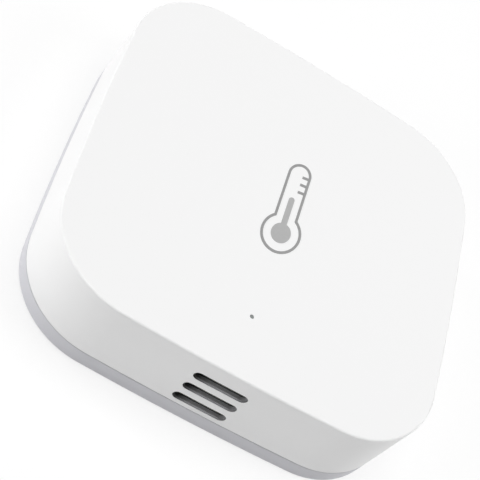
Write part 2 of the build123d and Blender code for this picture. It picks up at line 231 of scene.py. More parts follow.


# Adhesive pad
# A disc of closed-cell acrylic foam with adhesive on both faces, pressed into the
# cover's recess. The die leaves its edge hollow and a little uneven, its outer face
# has shallow dents, and its cells show as fine pits in a dull white, with painted
# shade in the pits.
def foamed(name, colour, pit_shade, cell, depth):
    """Foam whose cells, cell mm across, show as pits, painted darker as painted shade."""
    material, tree, shader = start_material(name, IOR=1.49, Roughness=0.85)
    shader.inputs["Sheen Weight"].default_value = 0.2
    shader.inputs["Sheen Roughness"].default_value = 0.6
    place = add_node(tree, "ShaderNodeTexCoord").outputs["Object"]
    cells = add_node(tree, "ShaderNodeTexVoronoi", {"Scale": 1 / (cell * MM)}, {"Vector": place})
    pit_floor, pit_rim = 0.15, 0.55  # in widths of a cell
    pits = add_node(
        tree,
        "ShaderNodeMapRange",
        {"From Min": pit_floor, "From Max": pit_rim},
        {"Value": cells.outputs["Distance"]},
    )
    tone = add_node(
        tree,
        "ShaderNodeMix",
        {"data_type": "RGBA", 6: linear(pit_shade), 7: linear(colour)},
        {0: pits.outputs[0]},
    )
    tree.links.new(tone.outputs[2], shader.inputs["Base Color"])
    bump = add_node(
        tree, "ShaderNodeBump", {"Distance": depth * MM}, {"Height": pits.outputs[0]}
    )
    tree.links.new(bump.outputs[0], shader.inputs["Normal"])
    return material


def die_cut_disc(node, crown, hollow):
    """A foam disc in a node's place: crowned on top by crown, its edge drawn in by hollow."""
    low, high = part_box(node)
    radius, corner = high.x, 0.04 * MM
    ring_count, sectors = 24, 144
    waver, waver_pace = 0.002, 6
    dent_depth, dent_width = 0.04 * MM, 3 * MM
    rings = [radius * ring / ring_count for ring in range(ring_count)]
    domed = [(r, high.z - crown * (r / radius) ** 2) for r in rings]
    edge = [
        (radius - corner, high.z - crown),
        (radius - 0.3 * corner, high.z - crown - 0.3 * corner),
        (radius, high.z - crown - corner),
        (radius - hollow, (low.z + high.z - crown) / 2),
        (radius, low.z + corner),
        (radius - 0.3 * corner, low.z + 0.3 * corner),
        (radius - corner, low.z),
    ]
    flat = [(r, low.z) for r in reversed(rings)]
    form = bmesh.new()
    line = [form.verts.new((r, 0.0, height)) for r, height in domed + edge + flat]
    runs = [form.edges.new(pair) for pair in zip(line, line[1:])]
    bmesh.ops.spin(
        form,
        geom=line + runs,
        cent=(0, 0, 0),
        axis=(0, 0, 1),
        angle=tau,
        steps=sectors,
        use_merge=True,
    )
    bmesh.ops.remove_doubles(form, verts=form.verts, dist=0.001 * MM)
    for vert in form.verts:
        drawn_in = 0.5 + 0.5 * noise.noise(vert.co.normalized() * waver_pace)
        vert.co.xy *= 1 - waver * drawn_in * vert.co.xy.length / radius
        if vert.co.z < low.z + 0.5 * corner:
            dent = max(0.0, noise.noise(Vector((vert.co.x, vert.co.y, 0)) / dent_width))
            vert.co.z += dent_depth * dent
    for face in form.faces:
        face.smooth = True
    return form


# The second colour is painted shade in the foam's pits.
white_foam = foamed("acrylic_foam", "#E4E3DE", "#D6D5CF", 0.30, 0.02)
pad_disc = die_cut_disc("adhesive_pad", 0.0, 0.05 * MM)
foam_pad = new_piece("foam_pad", pad_disc, white_foam, "base")
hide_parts("adhesive_pad")


# Cell cushion
# A small disc of black polyurethane foam, stuck to the cover's floor, that stops
# the cell from rattling. Slit from a block, so its open cells are cut through.
# The second colour is painted shade in the foam's pits.
black_foam = foamed("black_polyurethane_foam", "#232323", "#0C0C0C", 0.22, 0.04)
cushion_disc = die_cut_disc("cell_cushion", 0.06 * MM, 0.03 * MM)
foam_cushion = new_piece("foam_cushion", cushion_disc, black_foam, "base")
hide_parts("cell_cushion")


# Coin cell
# A lithium coin cell. Its can and cap are drawn from bright stainless sheet, so
# they carry faint rings from the die, and a plus sign stands on the can's bottom.
def drawn_steel(name, ring):
    """Sheet steel drawn in a round die: rings, ring mm apart, round the axis."""
    material, tree, shader = start_material(name, Metallic=1.0)
    place = add_node(tree, "ShaderNodeTexCoord").outputs["Object"]
    apart = add_node(tree, "ShaderNodeSeparateXYZ", {}, {0: place})
    level = add_node(
        tree, "ShaderNodeCombineXYZ", {}, {0: apart.outputs[0], 1: apart.outputs[1]}
    )
    far = add_node(
        tree, "ShaderNodeVectorMath", {"operation": "LENGTH"}, {0: level.outputs[0]}
    )
    rings = add_node(
        tree,
        "ShaderNodeTexNoise",
        {"noise_dimensions": "1D", "Scale": 1 / (ring * MM), "Detail": 3.0},
        {"W": far.outputs["Value"]},
    )
    smears = add_node(tree, "ShaderNodeTexNoise", {"Scale": 1 / (3 * MM)}, {"Vector": place})
    tone = add_node(
        tree,
        "ShaderNodeMix",
        {"data_type": "RGBA", 6: linear("#D6D5D1"), 7: linear("#C4C3BF")},
        {0: smears.outputs[0]},
    )
    tree.links.new(tone.outputs[2], shader.inputs["Base Color"])
    gloss = add_node(
        tree,
        "ShaderNodeMapRange",
        {"To Min": 0.20, "To Max": 0.34},
        {"Value": rings.outputs[0]},
    )
    tree.links.new(gloss.outputs[0], shader.inputs["Roughness"])
    rounded = add_node(tree, "ShaderNodeBevel", {"samples": 4, "Radius": 0.06 * MM})
    bump = add_node(
        tree,
        "ShaderNodeBump",
        {"Distance": 0.001 * MM},
        {"Height": rings.outputs[0], "Normal": rounded.outputs[0]},
    )
    tree.links.new(bump.outputs[0], shader.inputs["Normal"])
    return material


can_steel = drawn_steel("drawn_steel", 0.25)
dress(can_steel, "cell_can", "cell_cap")

# The plus sign is pushed out of the can's bottom from inside, with soft edges.
can_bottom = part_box("cell_can")[0].z
arm_reach, arm_half, relief = 2.2 * MM, 0.4 * MM, 0.03 * MM
plus_sign = bmesh.new()
bmesh.ops.create_cube(
    plus_sign,
    size=1.0,
    matrix=Matrix.Translation((0, 0, can_bottom))
    @ Matrix.Diagonal((2 * arm_half, 2 * arm_half, 2 * relief, 1.0)),
)
flanks = [face for face in plus_sign.faces if abs(face.normal.z) < 0.5]
arms = bmesh.ops.extrude_discrete_faces(plus_sign, faces=flanks)
for arm in arms["faces"]:
    bmesh.ops.translate(
        plus_sign, verts=arm.verts, vec=arm.normal * (arm_reach - arm_half)
    )
bmesh.ops.bevel(
    plus_sign,
    geom=[edge for edge in plus_sign.edges if all(v.co.z < can_bottom for v in edge.verts)],
    offset=0.02 * MM,
    segments=3,
    profile=0.5,
    affect="EDGES",
    material=-1,
)
new_piece("plus_sign", plus_sign, can_steel, "coin_cell")

# The gasket is dark nylon, squeezed between can and cap when the rim is crimped.
# The second colour is a painted highlight along the edges.
dress(moulded("crimped_nylon", "#262626", "#333333", 0.50, 0.20, 0.003, 0.03), "cell_gasket")

# The stack is pressed oxide powder under a separator and a lithium disc: dull,
# dark and grainy, and never seen unless the cell is cut open.
stack, tree, shader = start_material("pressed_oxide", Roughness=0.9, IOR=1.6)
place = add_node(tree, "ShaderNodeTexCoord").outputs["Object"]
grit = add_node(tree, "ShaderNodeTexNoise", {"Scale": 1 / (0.12 * MM)}, {"Vector": place})
tone = add_node(
    tree,
    "ShaderNodeMix",
    {"data_type": "RGBA", 6: linear("#161616"), 7: linear("#4A4A48")},
    {0: grit.outputs[0]},
)
tree.links.new(tone.outputs[2], shader.inputs["Base Color"])
dress(stack, "cell_electrodes")


# Top housing
# The white shell with the printed face, the slots and the pinhole, and the cap of
# the reset button. The same ABS as the cover, filled white: a very fine satin
# grain, no gloss, and edges that catch a thin line of light, helped by a painted
# highlight. The slots' walls are painted grey, darker in their ends, as painted shade.
# The second colour is a painted highlight along the edges.
white_with_highlight = ("#F1F1F1", "#FAFAFA", 0.40, 0.16, 0.003, 0.05)
dress(moulded("satin_white_abs", *white_with_highlight), "reset_button")


def painted_shade_in_ends(tree, place, unshaded, black):
    """How much painted shade lies in the slots' ends: on the left none nearer to the
    middle than the first number and full shade further than the second, both in mm,
    and on the right a part of it."""
    right_unshaded, right_black, shade_reach = 1.7 * MM, 2.9 * MM, 2.6 * MM
    apart = add_node(tree, "ShaderNodeSeparateXYZ", {}, {0: place})
    left = add_node(
        tree,
        "ShaderNodeMapRange",
        {"From Min": -unshaded * MM, "From Max": -black * MM},
        {"Value": apart.outputs[0]},
    )
    right = add_node(
        tree,
        "ShaderNodeMapRange",
        {"From Min": right_unshaded, "From Max": right_black},
        {"Value": apart.outputs[0]},
    )
    ends = add_node(
        tree,
        "ShaderNodeMath",
        {"operation": "MAXIMUM"},
        {0: left.outputs[0], 1: right.outputs[0]},
    )
    within = add_node(
        tree,
        "ShaderNodeMath",
        {"operation": "COMPARE", 1: 0.0, 2: shade_reach},
        {0: apart.outputs[0]},
    )
    share = add_node(
        tree,
        "ShaderNodeMath",
        {"operation": "MULTIPLY"},
        {0: ends.outputs[0], 1: within.outputs[0]},
    )
    return share.outputs[0]


def throats_painted_shade(material, colour):
    """Paints the slots' walls, from the case's skin to the insert, in a grey as painted
    shade, with more painted shade in their ends.
    """
    tree = material.node_tree
    base = tree.nodes["Principled BSDF"].inputs["Base Color"]
    plain = base.links[0].from_socket
    low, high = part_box("vent_insert")
    behind_skin, past_front, slot_half = 0.03 * MM, 0.2 * MM, 2.56 * MM
    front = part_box("top_housing")[0].y + behind_skin
    back = low.y + past_front
    centre = Vector((0.0, (front + back) / 2, (low.z + high.z) / 2))
    half = Vector((slot_half, (back - front) / 2, (high.z - low.z) / 2))
    place = add_node(tree, "ShaderNodeTexCoord").outputs["Object"]
    off = add_node(
        tree, "ShaderNodeVectorMath", {"operation": "SUBTRACT", 1: centre}, {0: place}
    )
    away = add_node(
        tree, "ShaderNodeVectorMath", {"operation": "ABSOLUTE"}, {0: off.outputs[0]}
    )
    room = add_node(
        tree, "ShaderNodeVectorMath", {"operation": "SUBTRACT", 0: half}, {1: away.outputs[0]}
    )
    apart = add_node(tree, "ShaderNodeSeparateXYZ", {}, {0: room.outputs[0]})
    least = add_node(
        tree,
        "ShaderNodeMath",
        {"operation": "MINIMUM"},
        {0: apart.outputs[0], 1: apart.outputs[1]},
    )
    least = add_node(
        tree,
        "ShaderNodeMath",
        {"operation": "MINIMUM"},
        {0: least.outputs[0], 1: apart.outputs[2]},
    )
    inside = add_node(
        tree, "ShaderNodeMath", {"operation": "GREATER_THAN", 1: 0.0}, {0: least.outputs[0]}
    )
    # Painted shade: inside the slots the white walls take the grey, near black in their ends.
    throat_shade = add_node(
        tree,
        "ShaderNodeMix",
        {"data_type": "RGBA", 6: linear(colour), 7: linear(PAINTED_SHADE)},
        {0: painted_shade_in_ends(tree, place, *WALL_SHADE_SPAN)},
    )
    tone = add_node(
        tree,
        "ShaderNodeMix",
        {"data_type": "RGBA"},
        {0: inside.outputs[0], 6: plain, 7: throat_shade.outputs[2]},
    )
    tree.links.new(tone.outputs[2], base)
    return material


# The near black is painted shade in the slots' ends. The spans say where it starts and where it
# is full, in mm.
INSERT_GREY_AND_THROAT_SHADE, PAINTED_SHADE = "#B2B2B4", "#262625"
WALL_SHADE_SPAN = (0.8, 2.2)
shell_abs = moulded("satin_white_abs_shell", *white_with_highlight)
# The white slots' walls are painted in the insert's grey as painted shade.
dress(throats_painted_shade(shell_abs, INSERT_GREY_AND_THROAT_SHADE), "top_housing")


# Printed symbol
# A thermometer pad-printed on the face in grey ink. The ink film is thin and dries
# unevenly, so its tone wanders a little. The column is printed a shade lighter.
def printed(name, colour, thin_colour):
    """Pad-printing ink: matt, with a faint mottle 0.4 mm across."""
    material, tree, shader = start_material(name, Roughness=0.55, IOR=1.5)
    place = add_node(tree, "ShaderNodeTexCoord").outputs["Object"]
    film = add_node(
        tree, "ShaderNodeTexNoise", {"Scale": 1 / (0.4 * MM), "Detail": 4.0}, {"Vector": place}
    )
    tone = add_node(
        tree,
        "ShaderNodeMix",
        {"data_type": "RGBA", 6: linear(colour), 7: linear(thin_colour)},
        {0: film.outputs[0]},
    )
    tree.links.new(tone.outputs[2], shader.inputs["Base Color"])
    bump = add_node(
        tree, "ShaderNodeBump", {"Distance": 0.002 * MM}, {"Height": film.outputs[0]}
    )
    tree.links.new(bump.outputs[0], shader.inputs["Normal"])
    return material


dress(printed("outline_ink", "#8E8E8E", "#9B9B9B"), "pictogram_outline")
dress(printed("column_ink", "#A8A8A8", "#B3B3B3"), "pictogram_column")


# Slot insert
# A grey moulding of matt ABS, pushed into the front wall from inside. Its three
# sleeves line the slots, and their lower ledges show as dark grey strips there.
# Painted shade darkens the slots' ends, the left ones most.
# The second colour is a painted highlight along the edges.
mid_abs = moulded("matt_mid_grey_abs", INSERT_GREY_AND_THROAT_SHADE, "#B6B6B8", 0.60, 0.12, 0.004, 0.03)
tree = mid_abs.node_tree
base = tree.nodes["Principled BSDF"].inputs["Base Color"]
place = add_node(tree, "ShaderNodeTexCoord").outputs["Object"]
tone = add_node(
    tree,
    "ShaderNodeMix",
    {"data_type": "RGBA", 7: linear(PAINTED_SHADE)},
    {0: painted_shade_in_ends(tree, place, *WALL_SHADE_SPAN), 6: base.links[0].from_socket},
)
tree.links.new(tone.outputs[2], base)
dress(mid_abs, "vent_insert")


# Dust mesh
# A strip of black polyester mesh glued behind the slots, woven one thread over, one
# under. Real threads lie 0.1 mm apart, and are drawn 0.22 mm apart. The round
# threads and the holes between them throw back little light, so it hardly shines.
BANDS = 3.183  # bands to a metre in a wave texture of scale 1
MESH_SHADE_SPAN = (0.4, 1.9)
mesh_weave, tree, shader = start_material("black_polyester_mesh", Roughness=0.8, IOR=1.57)
shader.inputs["Specular IOR Level"].default_value = 0.12
place = add_node(tree, "ShaderNodeTexCoord").outputs["Object"]
threads = []
for direction in ("X", "Z"):
    wave = add_node(
        tree,
        "ShaderNodeTexWave",
        {"bands_direction": direction, "Scale": 1 / (0.22 * MM) / BANDS},
        {"Vector": place},
    )
    threads.append(wave.outputs["Fac"])
weave = add_node(
    tree, "ShaderNodeMath", {"operation": "MAXIMUM"}, {0: threads[0], 1: threads[1]}
)
tone = add_node(
    tree,
    "ShaderNodeMix",
    {"data_type": "RGBA", 6: linear("#232323"), 7: linear("#5F5F5F")},
    {0: weave.outputs[0]},
)
# Painted shade: the mesh turns near black in the slots' ends, the left ones most.
ends_shaded = add_node(
    tree,
    "ShaderNodeMix",
    {"data_type": "RGBA", 7: linear("#060606")},
    {0: painted_shade_in_ends(tree, place, *MESH_SHADE_SPAN), 6: tone.outputs[2]},
)
tree.links.new(ends_shaded.outputs[2], shader.inputs["Base Color"])
bump = add_node(tree, "ShaderNodeBump", {"Distance": 0.05 * MM}, {"Height": weave.outputs[0]})
tree.links.new(bump.outputs[0], shader.inputs["Normal"])
dress(mesh_weave, "vent_mesh")


# Light pipe
# A pin of polycarbonate with a little white filler, pressed up into the face, that
# carries the light of the chip below to the pinhole. Its tip is left slightly dull.
clear, tree, shader = start_material(
    "clear_polycarbonate", IOR=1.585, Transmission_Weight=0.45
)
shader.inputs["Base Color"].default_value = linear("#A7ADAB")
place = add_node(tree, "ShaderNodeTexCoord").outputs["Object"]
haze = add_node(tree, "ShaderNodeTexNoise", {"Scale": 1 / (0.3 * MM)}, {"Vector": place})
dull = add_node(
    tree,
    "ShaderNodeMapRange",
    {"To Min": 0.12, "To Max": 0.35},
    {"Value": haze.outputs[0]},
)
tree.links.new(dull.outputs[0], shader.inputs["Roughness"])
dress(clear, "light_pipe")


# Sensor boot
# A wall of black foam round the climate sensor that keeps the air from outside
# apart from the warm air over the board. Cut from the cushion's foam and squeezed
# between board and roof, so that it bulges at half its height.
low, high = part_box("sensor_boot")
boot_wall, boot_corner, boot_bulge = 0.74 * MM, 0.10 * MM, 0.06 * MM
arm, web = high.x - boot_wall, high.y - boot_wall
boot_plan = (
    (low.x, low.y),
    (-arm, low.y),
    (-arm, web),
    (arm, web),
    (arm, low.y),
    (high.x, low.y),
    (high.x, high.y),
    (low.x, high.y),
)
boot = bmesh.new()
outline = boot.faces.new([boot.verts.new((x, y, low.z)) for x, y in boot_plan])
raised = bmesh.ops.extrude_face_region(boot, geom=[outline], use_keep_orig=True)
for vert in raised["geom"]:
    if isinstance(vert, bmesh.types.BMVert):
        vert.co.z = high.z
bmesh.ops.recalc_face_normals(boot, faces=boot.faces)
bmesh.ops.bevel(
    boot,
    geom=list(boot.edges),
    offset=boot_corner,
    segments=3,
    profile=0.5,
    affect="EDGES",
    material=-1,
)
bmesh.ops.triangulate(boot, faces=[face for face in boot.faces if len(face.verts) > 4])
bmesh.ops.subdivide_edges(boot, edges=list(boot.edges), cuts=3, use_grid_fill=True)
boot.normal_update()
for vert in boot.verts:
    off_middle = 2 * (vert.co.z - low.z) / (high.z - low.z) - 1
    vert.co.xy -= vert.normal.xy * boot_bulge * off_middle**2
for face in boot.faces:
    face.smooth = True
foam_boot = new_piece("foam_boot", boot, black_foam, "housing")
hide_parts("sensor_boot")


# Circuit board
# Woven glass and epoxy under a green solder mask, routed to the case's outline.
# The mask is glossy, the weave shows through it, and the cut edge is bare and tan.
board_mask, tree, shader = start_material("green_solder_mask", IOR=1.55, Roughness=0.28)
coords = add_node(tree, "ShaderNodeTexCoord")
place = coords.outputs["Object"]
bundles = []
for direction in ("X", "Y"):
    wave = add_node(
        tree,
        "ShaderNodeTexWave",
        {"bands_direction": direction, "Scale": 1 / (0.5 * MM) / BANDS, "Distortion": 0.4},
        {"Vector": place},
    )
    bundles.append(wave.outputs["Fac"])
weave = add_node(
    tree, "ShaderNodeMath", {"operation": "MULTIPLY"}, {0: bundles[0], 1: bundles[1]}
)
mask = add_node(
    tree,
    "ShaderNodeMix",
    {"data_type": "RGBA", 6: linear("#1C5A34"), 7: linear("#2A6D42")},
    {0: weave.outputs[0]},
)
facing = add_node(tree, "ShaderNodeSeparateXYZ", {}, {0: coords.outputs["Normal"]})
upright = add_node(
    tree, "ShaderNodeMath", {"operation": "ABSOLUTE"}, {0: facing.outputs[2]}
)
cut = add_node(
    tree, "ShaderNodeMath", {"operation": "LESS_THAN", 1: 0.5}, {0: upright.outputs[0]}
)
tone = add_node(
    tree,
    "ShaderNodeMix",
    {"data_type": "RGBA", 7: linear("#B79F6B")},
    {0: cut.outputs[0], 6: mask.outputs[2]},
)
tree.links.new(tone.outputs[2], shader.inputs["Base Color"])
bump = add_node(tree, "ShaderNodeBump", {"Distance": 0.006 * MM}, {"Height": weave.outputs[0]})
tree.links.new(bump.outputs[0], shader.inputs["Normal"])
dress(board_mask, "circuit_board")


# Copper track
# The antenna and the round test pads are copper, etched and plated with gold over
# nickel: bright, warm, and slightly uneven where the plating grew.
gold, tree, shader = start_material("gold_on_nickel", Metallic=1.0)
place = add_node(tree, "ShaderNodeTexCoord").outputs["Object"]
plating = add_node(
    tree, "ShaderNodeTexNoise", {"Scale": 1 / (0.25 * MM), "Detail": 3.0}, {"Vector": place}
)
tone = add_node(
    tree,
    "ShaderNodeMix",
    {"data_type": "RGBA", 6: linear("#E3C07A"), 7: linear("#D3AE66")},
    {0: plating.outputs[0]},
)
tree.links.new(tone.outputs[2], shader.inputs["Base Color"])
gloss = add_node(
    tree,
    "ShaderNodeMapRange",
    {"To Min": 0.22, "To Max": 0.38},
    {"Value": plating.outputs[0]},
)
tree.links.new(gloss.outputs[0], shader.inputs["Roughness"])
dress(gold, "antenna_trace")

board_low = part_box("circuit_board")[0].z
board_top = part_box("circuit_board")[1].z
pad_radius, pad_height, pad_edge = 0.62 * MM, 0.035 * MM, 0.07 * MM
test_pads = bmesh.new()
near, far = 11.6, 13.4
for x, y in ((-far, near), (-near, far), (far, -near), (near, -far), (far, near), (-far, -near)):
    pad = bmesh.ops.create_cone(
        test_pads,
        cap_ends=True,
        segments=32,
        radius1=pad_radius - pad_edge,
        radius2=pad_radius,
        depth=pad_height,
        matrix=Matrix.Translation((x * MM, y * MM, board_low - pad_height / 2)),
    )
    rim = [edge for edge in test_pads.edges if all(v in pad["verts"] for v in edge.verts)]
    low = [e for e in rim if all(v.co.z < board_low - pad_height / 2 for v in e.verts)]
    bmesh.ops.bevel(
        test_pads,
        geom=low,
        offset=0.012 * MM,
        segments=2,
        profile=0.5,
        affect="EDGES",
        material=-1,
    )
new_piece("test_pads", test_pads, gold, "housing")


# Masked track
# Copper lines under the mask on the board's lower face, from the test pads to the
# switch and the contacts. The mask drapes over them, so they show as low ridges.
ridge_mask, tree, shader = start_material("mask_over_copper", IOR=1.55)
place = add_node(tree, "ShaderNodeTexCoord").outputs["Object"]
drape = add_node(tree, "ShaderNodeTexNoise", {"Scale": 1 / (0.4 * MM)}, {"Vector": place})
tone = add_node(
    tree,
    "ShaderNodeMix",
    {"data_type": "RGBA", 6: linear("#3B8552"), 7: linear("#2F7546")},
    {0: drape.outputs[0]},
)
tree.links.new(tone.outputs[2], shader.inputs["Base Color"])
gloss = add_node(
    tree,
    "ShaderNodeMapRange",
    {"To Min": 0.20, "To Max": 0.32},
    {"Value": drape.outputs[0]},
)
tree.links.new(gloss.outputs[0], shader.inputs["Roughness"])

tracks = bmesh.new()
routes = (
    ((-13.4, 11.6), (-13.4, 8.6), (-11.9, 7.1)),
    ((-11.6, 13.4), (-6.0, 13.4), (-4.6, 12.0), (-2.8, 12.0)),
    ((13.4, 11.6), (11.4, 13.6), (5.0, 13.6), (3.8, 12.4), (2.8, 12.4)),
    ((13.4, -11.6), (13.4, -6.4), (12.6, -5.6)),
    ((11.6, -13.4), (6.2, -13.4), (5.2, -12.4)),
    ((-13.4, -11.6), (-13.4, -4.4), (-12.6, -3.6)),
)
track_width, track_height, track_edge = 0.26 * MM, 0.018 * MM, 0.02 * MM
track_middle = board_low - track_height / 2
for route in routes:
    points = [Vector((x * MM, y * MM, track_middle)) for x, y in route]
    for point in points:
        bmesh.ops.create_cone(
            tracks,
            cap_ends=True,
            segments=20,
            radius1=track_width / 2 - track_edge,
            radius2=track_width / 2,
            depth=track_height,
            matrix=Matrix.Translation(point),
        )
    for start, end in zip(points, points[1:]):
        run = end - start
        turned = Matrix.Rotation(run.xy.angle_signed(Vector((1, 0))), 4, "Z")
        stretched = Matrix.Diagonal((run.length, track_width, track_height, 1.0))
        bar = bmesh.ops.create_cube(
            tracks,
            size=1.0,
            matrix=Matrix.Translation((start + end) / 2) @ turned @ stretched,
        )
        flanks = {edge for vert in bar["verts"] for edge in vert.link_edges}
        along = [
            edge
            for edge in flanks
            if edge.calc_length() > 0.9 * run.length
            and all(vert.co.z < track_middle for vert in edge.verts)
        ]
        bmesh.ops.bevel(
            tracks,
            geom=along,
            offset=0.012 * MM,
            segments=2,
            profile=0.5,
            affect="EDGES",
            material=-1,
        )
new_piece("masked_tracks", tracks, ridge_mask, "housing")


# Board chips
# Chips in black epoxy moulded over the silicon, with a matt top and a small round
# dimple that marks the first pin. They stand on tinned pads at the board's face.
def epoxy(name, dimple=None):
    """Black moulding compound, with a dimple at a place in metres."""
    material, tree, shader = start_material(name, IOR=1.55)
    place = add_node(tree, "ShaderNodeTexCoord").outputs["Object"]
    filler = add_node(
        tree, "ShaderNodeTexNoise", {"Scale": 1 / (0.10 * MM), "Detail": 3.0}, {"Vector": place}
    )
    tone = add_node(
        tree,
        "ShaderNodeMix",
        {"data_type": "RGBA", 6: linear("#1B1B1D"), 7: linear("#2C2C2F")},
        {0: filler.outputs[0]},
    )
    colour = tone.outputs[2]
    if dimple is not None:
        off = add_node(
            tree, "ShaderNodeVectorMath", {"operation": "DISTANCE", 1: dimple}, {0: place}
        )
        dot = add_node(
            tree,
            "ShaderNodeMapRange",
            {"From Min": 0.27 * MM, "From Max": 0.24 * MM},
            {"Value": off.outputs["Value"]},
        )
        spot = add_node(
            tree,
            "ShaderNodeMix",
            {"data_type": "RGBA", 7: linear("#3B3B3E")},
            {0: dot.outputs[0], 6: colour},
        )
        colour = spot.outputs[2]
    tree.links.new(colour, shader.inputs["Base Color"])
    matt = add_node(
        tree,
        "ShaderNodeMapRange",
        {"To Min": 0.50, "To Max": 0.66},
        {"Value": filler.outputs[0]},
    )
    tree.links.new(matt.outputs[0], shader.inputs["Roughness"])
    bump = add_node(
        tree, "ShaderNodeBump", {"Distance": 0.004 * MM}, {"Height": filler.outputs[0]}
    )
    tree.links.new(bump.outputs[0], shader.inputs["Normal"])
    return material


radio_low, radio_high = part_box("radio_chip")
first_pin = (radio_low.x + 0.7 * MM, radio_high.y - 0.7 * MM, radio_high.z)
dress(epoxy("radio_epoxy", first_pin), "radio_chip")
climate_low, climate_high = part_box("humidity_sensor")
first_pin = (climate_low.x + 0.4 * MM, climate_high.y - 0.4 * MM, climate_high.z)
dress(epoxy("climate_epoxy", first_pin), "humidity_sensor")

# Tinned pads round the radio chip: each is a flat finger of solder that wicks out
# from under the chip's edge.
tin, tree, shader = start_material("reflowed_tin", Metallic=1.0)
place = add_node(tree, "ShaderNodeTexCoord").outputs["Object"]
grains = add_node(tree, "ShaderNodeTexVoronoi", {"Scale": 1 / (0.12 * MM)}, {"Vector": place})
tone = add_node(
    tree,
    "ShaderNodeMix",
    {"data_type": "RGBA", 6: linear("#CFD0D2"), 7: linear("#B4B6B9")},
    {0: grains.outputs["Distance"]},
)
tree.links.new(tone.outputs[2], shader.inputs["Base Color"])
gloss = add_node(
    tree,
    "ShaderNodeMapRange",
    {"To Min": 0.22, "To Max": 0.42},
    {"Value": grains.outputs["Distance"]},
)
tree.links.new(gloss.outputs[0], shader.inputs["Roughness"])


def solder_block(form, centre, size):
    """A low block of solder with its outer edges melted round."""
    made = bmesh.ops.create_cube(
        form,
        size=1.0,
        matrix=Matrix.Translation(centre) @ Matrix.Diagonal((*size, 1.0)),
    )
    edges = {edge for vert in made["verts"] for edge in vert.link_edges}
    bmesh.ops.bevel(
        form,
        geom=list(edges),
        offset=min(size) * 0.35,
        segments=3,
        profile=0.5,
        affect="EDGES",
        material=-1,
    )


WETTED = 0.01 * MM  # how far solder reaches under what it holds
chip_solder = bmesh.new()
radio_middle = (radio_low + radio_high) / 2
radio_half = (radio_high.x - radio_low.x) / 2
pins_a_side, pin_pitch = 8, 0.65 * MM
finger_long, finger_wide, finger_high = 0.24 * MM, 0.30 * MM, 0.08 * MM
finger_out = radio_half + 0.10 * MM
level = board_top + finger_high / 2
for number in range(pins_a_side):
    along = (number - (pins_a_side - 1) / 2) * pin_pitch
    for side in (-1, 1):
        out = side * finger_out
        solder_block(
            chip_solder,
            (radio_middle.x + out, radio_middle.y + along, level),
            (finger_long, finger_wide, finger_high),
        )
        solder_block(
            chip_solder,
            (radio_middle.x + along, radio_middle.y + out, level),
            (finger_wide, finger_long, finger_high),
        )
small_chip_wide = 0.5 * MM
small_end = (0.46 * MM, 0.20 * MM, 0.18 * MM)
for node, count in (("chip_capacitors", 6), ("chip_resistors", 5)):
    low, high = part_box(node)
    pitch = (high.x - low.x - small_chip_wide) / (count - 1)
    for number in range(count):
        x = low.x + small_chip_wide / 2 + number * pitch
        for end, side in ((low.y, -1), (high.y, 1)):
            y = end + side * (small_end[1] / 2 - WETTED)
            solder_block(chip_solder, (x, y, board_top + small_end[2] / 2), small_end)
low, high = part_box("reservoir_capacitor")
large_end = (0.30 * MM, 1.30 * MM, 0.32 * MM)
y = (low.y + high.y) / 2
for end, side in ((low.x, -1), (high.x, 1)):
    x = end + side * (large_end[0] / 2 - WETTED)
    solder_block(chip_solder, (x, y, board_top + large_end[2] / 2), large_end)
new_piece("chip_solder", chip_solder, tin, "housing")


# Small ceramic and glass chips
# Capacitors are fired tan ceramic and resistors black glaze on white ceramic. Both
# have ends dipped in metal and tinned, which take up a quarter of their length.
def end_capped(name, body, grain, metal_from, axis, middle):
    """Ceramic whose tinned ends begin metal_from mm off the middle, along an axis."""
    uneven = 0.04
    material, tree, shader = start_material(name, IOR=1.6)
    place = add_node(tree, "ShaderNodeTexCoord").outputs["Object"]
    apart = add_node(tree, "ShaderNodeSeparateXYZ", {}, {0: place})
    off = add_node(
        tree, "ShaderNodeMath", {"operation": "SUBTRACT", 1: middle}, {0: apart.outputs[axis]}
    )
    away = add_node(tree, "ShaderNodeMath", {"operation": "ABSOLUTE"}, {0: off.outputs[0]})
    ragged = add_node(
        tree, "ShaderNodeTexNoise", {"Scale": 1 / (0.15 * MM)}, {"Vector": place}
    )
    edge = add_node(
        tree,
        "ShaderNodeMath",
        {"operation": "MULTIPLY_ADD", 1: uneven * MM, 2: (metal_from - uneven / 2) * MM},
        {0: ragged.outputs[0]},
    )
    ends = add_node(
        tree,
        "ShaderNodeMath",
        {"operation": "GREATER_THAN"},
        {0: away.outputs[0], 1: edge.outputs[0]},
    )
    fired = add_node(
        tree,
        "ShaderNodeMix",
        {"data_type": "RGBA", 6: linear(body), 7: linear(grain)},
        {0: ragged.outputs[0]},
    )
    tone = add_node(
        tree,
        "ShaderNodeMix",
        {"data_type": "RGBA", 7: linear("#C9CACC")},
        {0: ends.outputs[0], 6: fired.outputs[2]},
    )
    tree.links.new(tone.outputs[2], shader.inputs["Base Color"])
    tree.links.new(ends.outputs[0], shader.inputs["Metallic"])
    gloss = add_node(
        tree,
        "ShaderNodeMapRange",
        {"To Min": 0.30, "To Max": 0.45},
        {"Value": ragged.outputs[0]},
    )
    tree.links.new(gloss.outputs[0], shader.inputs["Roughness"])
    return material


low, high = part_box("chip_capacitors")
dress(
    end_capped("small_ceramic", "#B08A5E", "#9E784E", 0.26, 1, (low.y + high.y) / 2),
    "chip_capacitors",
)
low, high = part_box("chip_resistors")
dress(
    end_capped("black_glaze", "#141416", "#1F1F22", 0.26, 1, (low.y + high.y) / 2),
    "chip_resistors",
)
low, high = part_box("reservoir_capacitor")
dress(
    end_capped("large_ceramic", "#A37F57", "#8F6C46", 1.10, 0, (low.x + high.x) / 2),
    "reservoir_capacitor",
)

